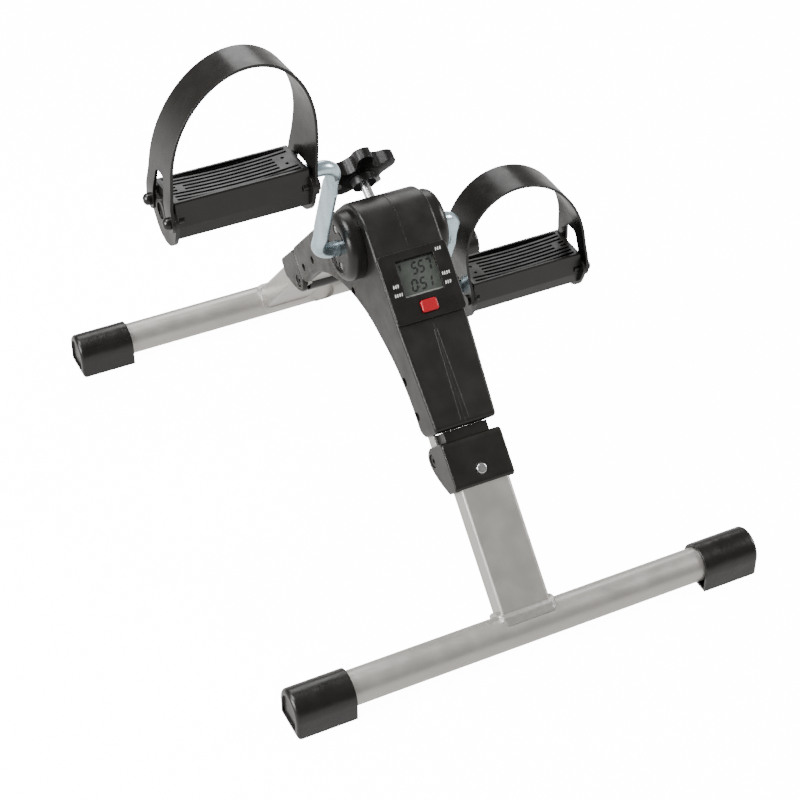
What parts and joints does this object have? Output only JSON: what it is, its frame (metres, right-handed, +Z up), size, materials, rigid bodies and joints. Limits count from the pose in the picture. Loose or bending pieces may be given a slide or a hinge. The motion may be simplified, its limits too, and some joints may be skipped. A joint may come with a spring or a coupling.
{
  "type": "pedal exerciser",
  "caption": "Folding floor pedal exerciser with a two-armed housing, hinged legs on foot bars, strapped pedals, tension knob and counter display.",
  "frame": {"origin": "on the floor under the middle of the object, midway between the foot bars", "axes": "+X along the crank axle to the user's right, +Y away from the user, +Z up"},
  "size_m": [0.4082, 0.513, 0.4413],
  "materials": {
    "housing_plastic": "fine moulded satin",
    "cover_plastic": "satin",
    "bezel_plastic": "satin",
    "foot_plastic": "soft gloss",
    "pedal_plastic": "satin",
    "strap_plastic": "soft gloss",
    "rivet_plastic": "gloss",
    "knob_plastic": "satin",
    "silver_paint": "fine metallic silver",
    "zinc_steel": "bright blue zinc",
    "bright_steel": "bright",
    "spring_steel": "drawn",
    "black_steel": "black oxide",
    "nylon": "natural nylon",
    "window": "clear",
    "lcd_glass": "grey green",
    "board": "solder mask",
    "red_plastic": "soft gloss",
    "lead_plastic": "insulation"
  },
  "bodies": {
    "housing": {"left_housing_shell": "housing_plastic", "right_housing_shell": "housing_plastic", "housing_screws": "bright_steel", "left_bearing_cap": "cover_plastic", "right_bearing_cap": "cover_plastic", "bearing_cap_screws": "bright_steel", "axle_bushes": "nylon", "hub_tube": "bright_steel", "brake_boss": "bright_steel", "front_inner_arm": "silver_paint", "rear_inner_arm": "silver_paint", "console_bezel": "bezel_plastic", "display_window": "window", "lcd_panel": "lcd_glass", "lcd_holder": "nylon", "circuit_board": "board", "board_screws": "bright_steel", "battery": "bright_steel", "reed_sensor": "nylon", "sensor_lead": "lead_plastic", "button_spring": "spring_steel"},
    "crank": {"crank": "zinc_steel", "friction_drum": "bright_steel", "speed_magnet": "bright_steel", "spindle_clips": "zinc_steel"},
    "left_pedal": {"left_pedal_body": "pedal_plastic", "left_pedal_bush": "nylon", "left_pedal_inner_plate": "pedal_plastic", "left_pedal_outer_plate": "pedal_plastic", "left_toe_strap": "strap_plastic", "left_strap_rivets": "rivet_plastic"},
    "right_pedal": {"right_pedal_body": "pedal_plastic", "right_pedal_bush": "nylon", "right_pedal_inner_plate": "pedal_plastic", "right_pedal_outer_plate": "pedal_plastic", "right_toe_strap": "strap_plastic", "right_strap_rivets": "rivet_plastic"},
    "front_leg": {"front_leg": "silver_paint", "front_weld": "silver_paint", "front_foot_bar": "silver_paint", "front_foot_caps": "foot_plastic", "front_collar": "cover_plastic", "front_hinge_bolt": "black_steel", "front_hinge_nut": "black_steel", "front_lock_spring": "spring_steel"},
    "rear_leg": {"rear_leg": "silver_paint", "rear_weld": "silver_paint", "rear_foot_bar": "silver_paint", "rear_bar_plug": "silver_paint", "rear_foot_caps": "foot_plastic", "rear_collar": "cover_plastic", "rear_hinge_bolt": "black_steel", "rear_hinge_nut": "black_steel", "rear_lock_spring": "spring_steel"},
    "front_lock_button": {"front_lock_button": "bright_steel"},
    "rear_lock_button": {"rear_lock_button": "bright_steel"},
    "mode_button": {"mode_button": "red_plastic"},
    "brake_shoe": {"brake_shoe": "nylon"},
    "tension_knob": {"tension_knob": "knob_plastic", "tension_screw": "bright_steel"}
  },
  "joints": [
    {"name": "crank_spin", "type": "hinge", "parent": "housing", "child": "crank", "pos_m": [0, 0.0096, 0.2294], "axis": [1, 0, 0], "continuous": true},
    {"name": "left_pedal_spin", "type": "hinge", "parent": "crank", "child": "left_pedal", "pos_m": [-0.142, -0.02979, 0.33531], "axis": [1, 0, 0], "continuous": true},
    {"name": "right_pedal_spin", "type": "hinge", "parent": "crank", "child": "right_pedal", "pos_m": [0.142, 0.04899, 0.12349], "axis": [1, 0, 0], "continuous": true},
    {"name": "front_leg_fold", "type": "hinge", "parent": "housing", "child": "front_leg", "pos_m": [0, -0.12623, 0.10626], "axis": [1, 0, 0], "range_deg": [0, 90]},
    {"name": "rear_leg_fold", "type": "hinge", "parent": "housing", "child": "rear_leg", "pos_m": [0, 0.13328, 0.11121], "axis": [-1, 0, 0], "range_deg": [0, 90]},
    {"name": "brake_shoe_slide", "type": "slide", "parent": "housing", "child": "brake_shoe", "axis": [0, -0.866, -0.5], "range_m": [-0.0025, 0.00125]},
    {"name": "knob_turn", "type": "hinge", "parent": "brake_shoe", "child": "tension_knob", "pos_m": [0, 0.06156, 0.2594], "axis": [0, -0.866, -0.5], "range_deg": [-720, 360]},
    {"name": "mode_button_press", "type": "slide", "parent": "housing", "child": "mode_button", "axis": [0, 0.7071, -0.7071], "range_m": [0, 0.0012], "stiffness_N_per_m": 400, "springref_m": -0.002, "deforming": ["button_spring"]},
    {"name": "front_lock_press", "type": "slide", "parent": "front_leg", "child": "front_lock_button", "axis": [0, 0.7071, -0.7071], "range_m": [0, 0.0036], "stiffness_N_per_m": 1500, "springref_m": -0.003, "deforming": ["front_lock_spring"]},
    {"name": "rear_lock_press", "type": "slide", "parent": "rear_leg", "child": "rear_lock_button", "axis": [0, -0.7071, -0.7071], "range_m": [0, 0.0036], "stiffness_N_per_m": 1500, "springref_m": -0.003, "deforming": ["rear_lock_spring"]}
  ],
  "couplings": [
    {"joint": "knob_turn", "follows": "brake_shoe_slide", "rad_per_m": 5026.5}
  ]
}
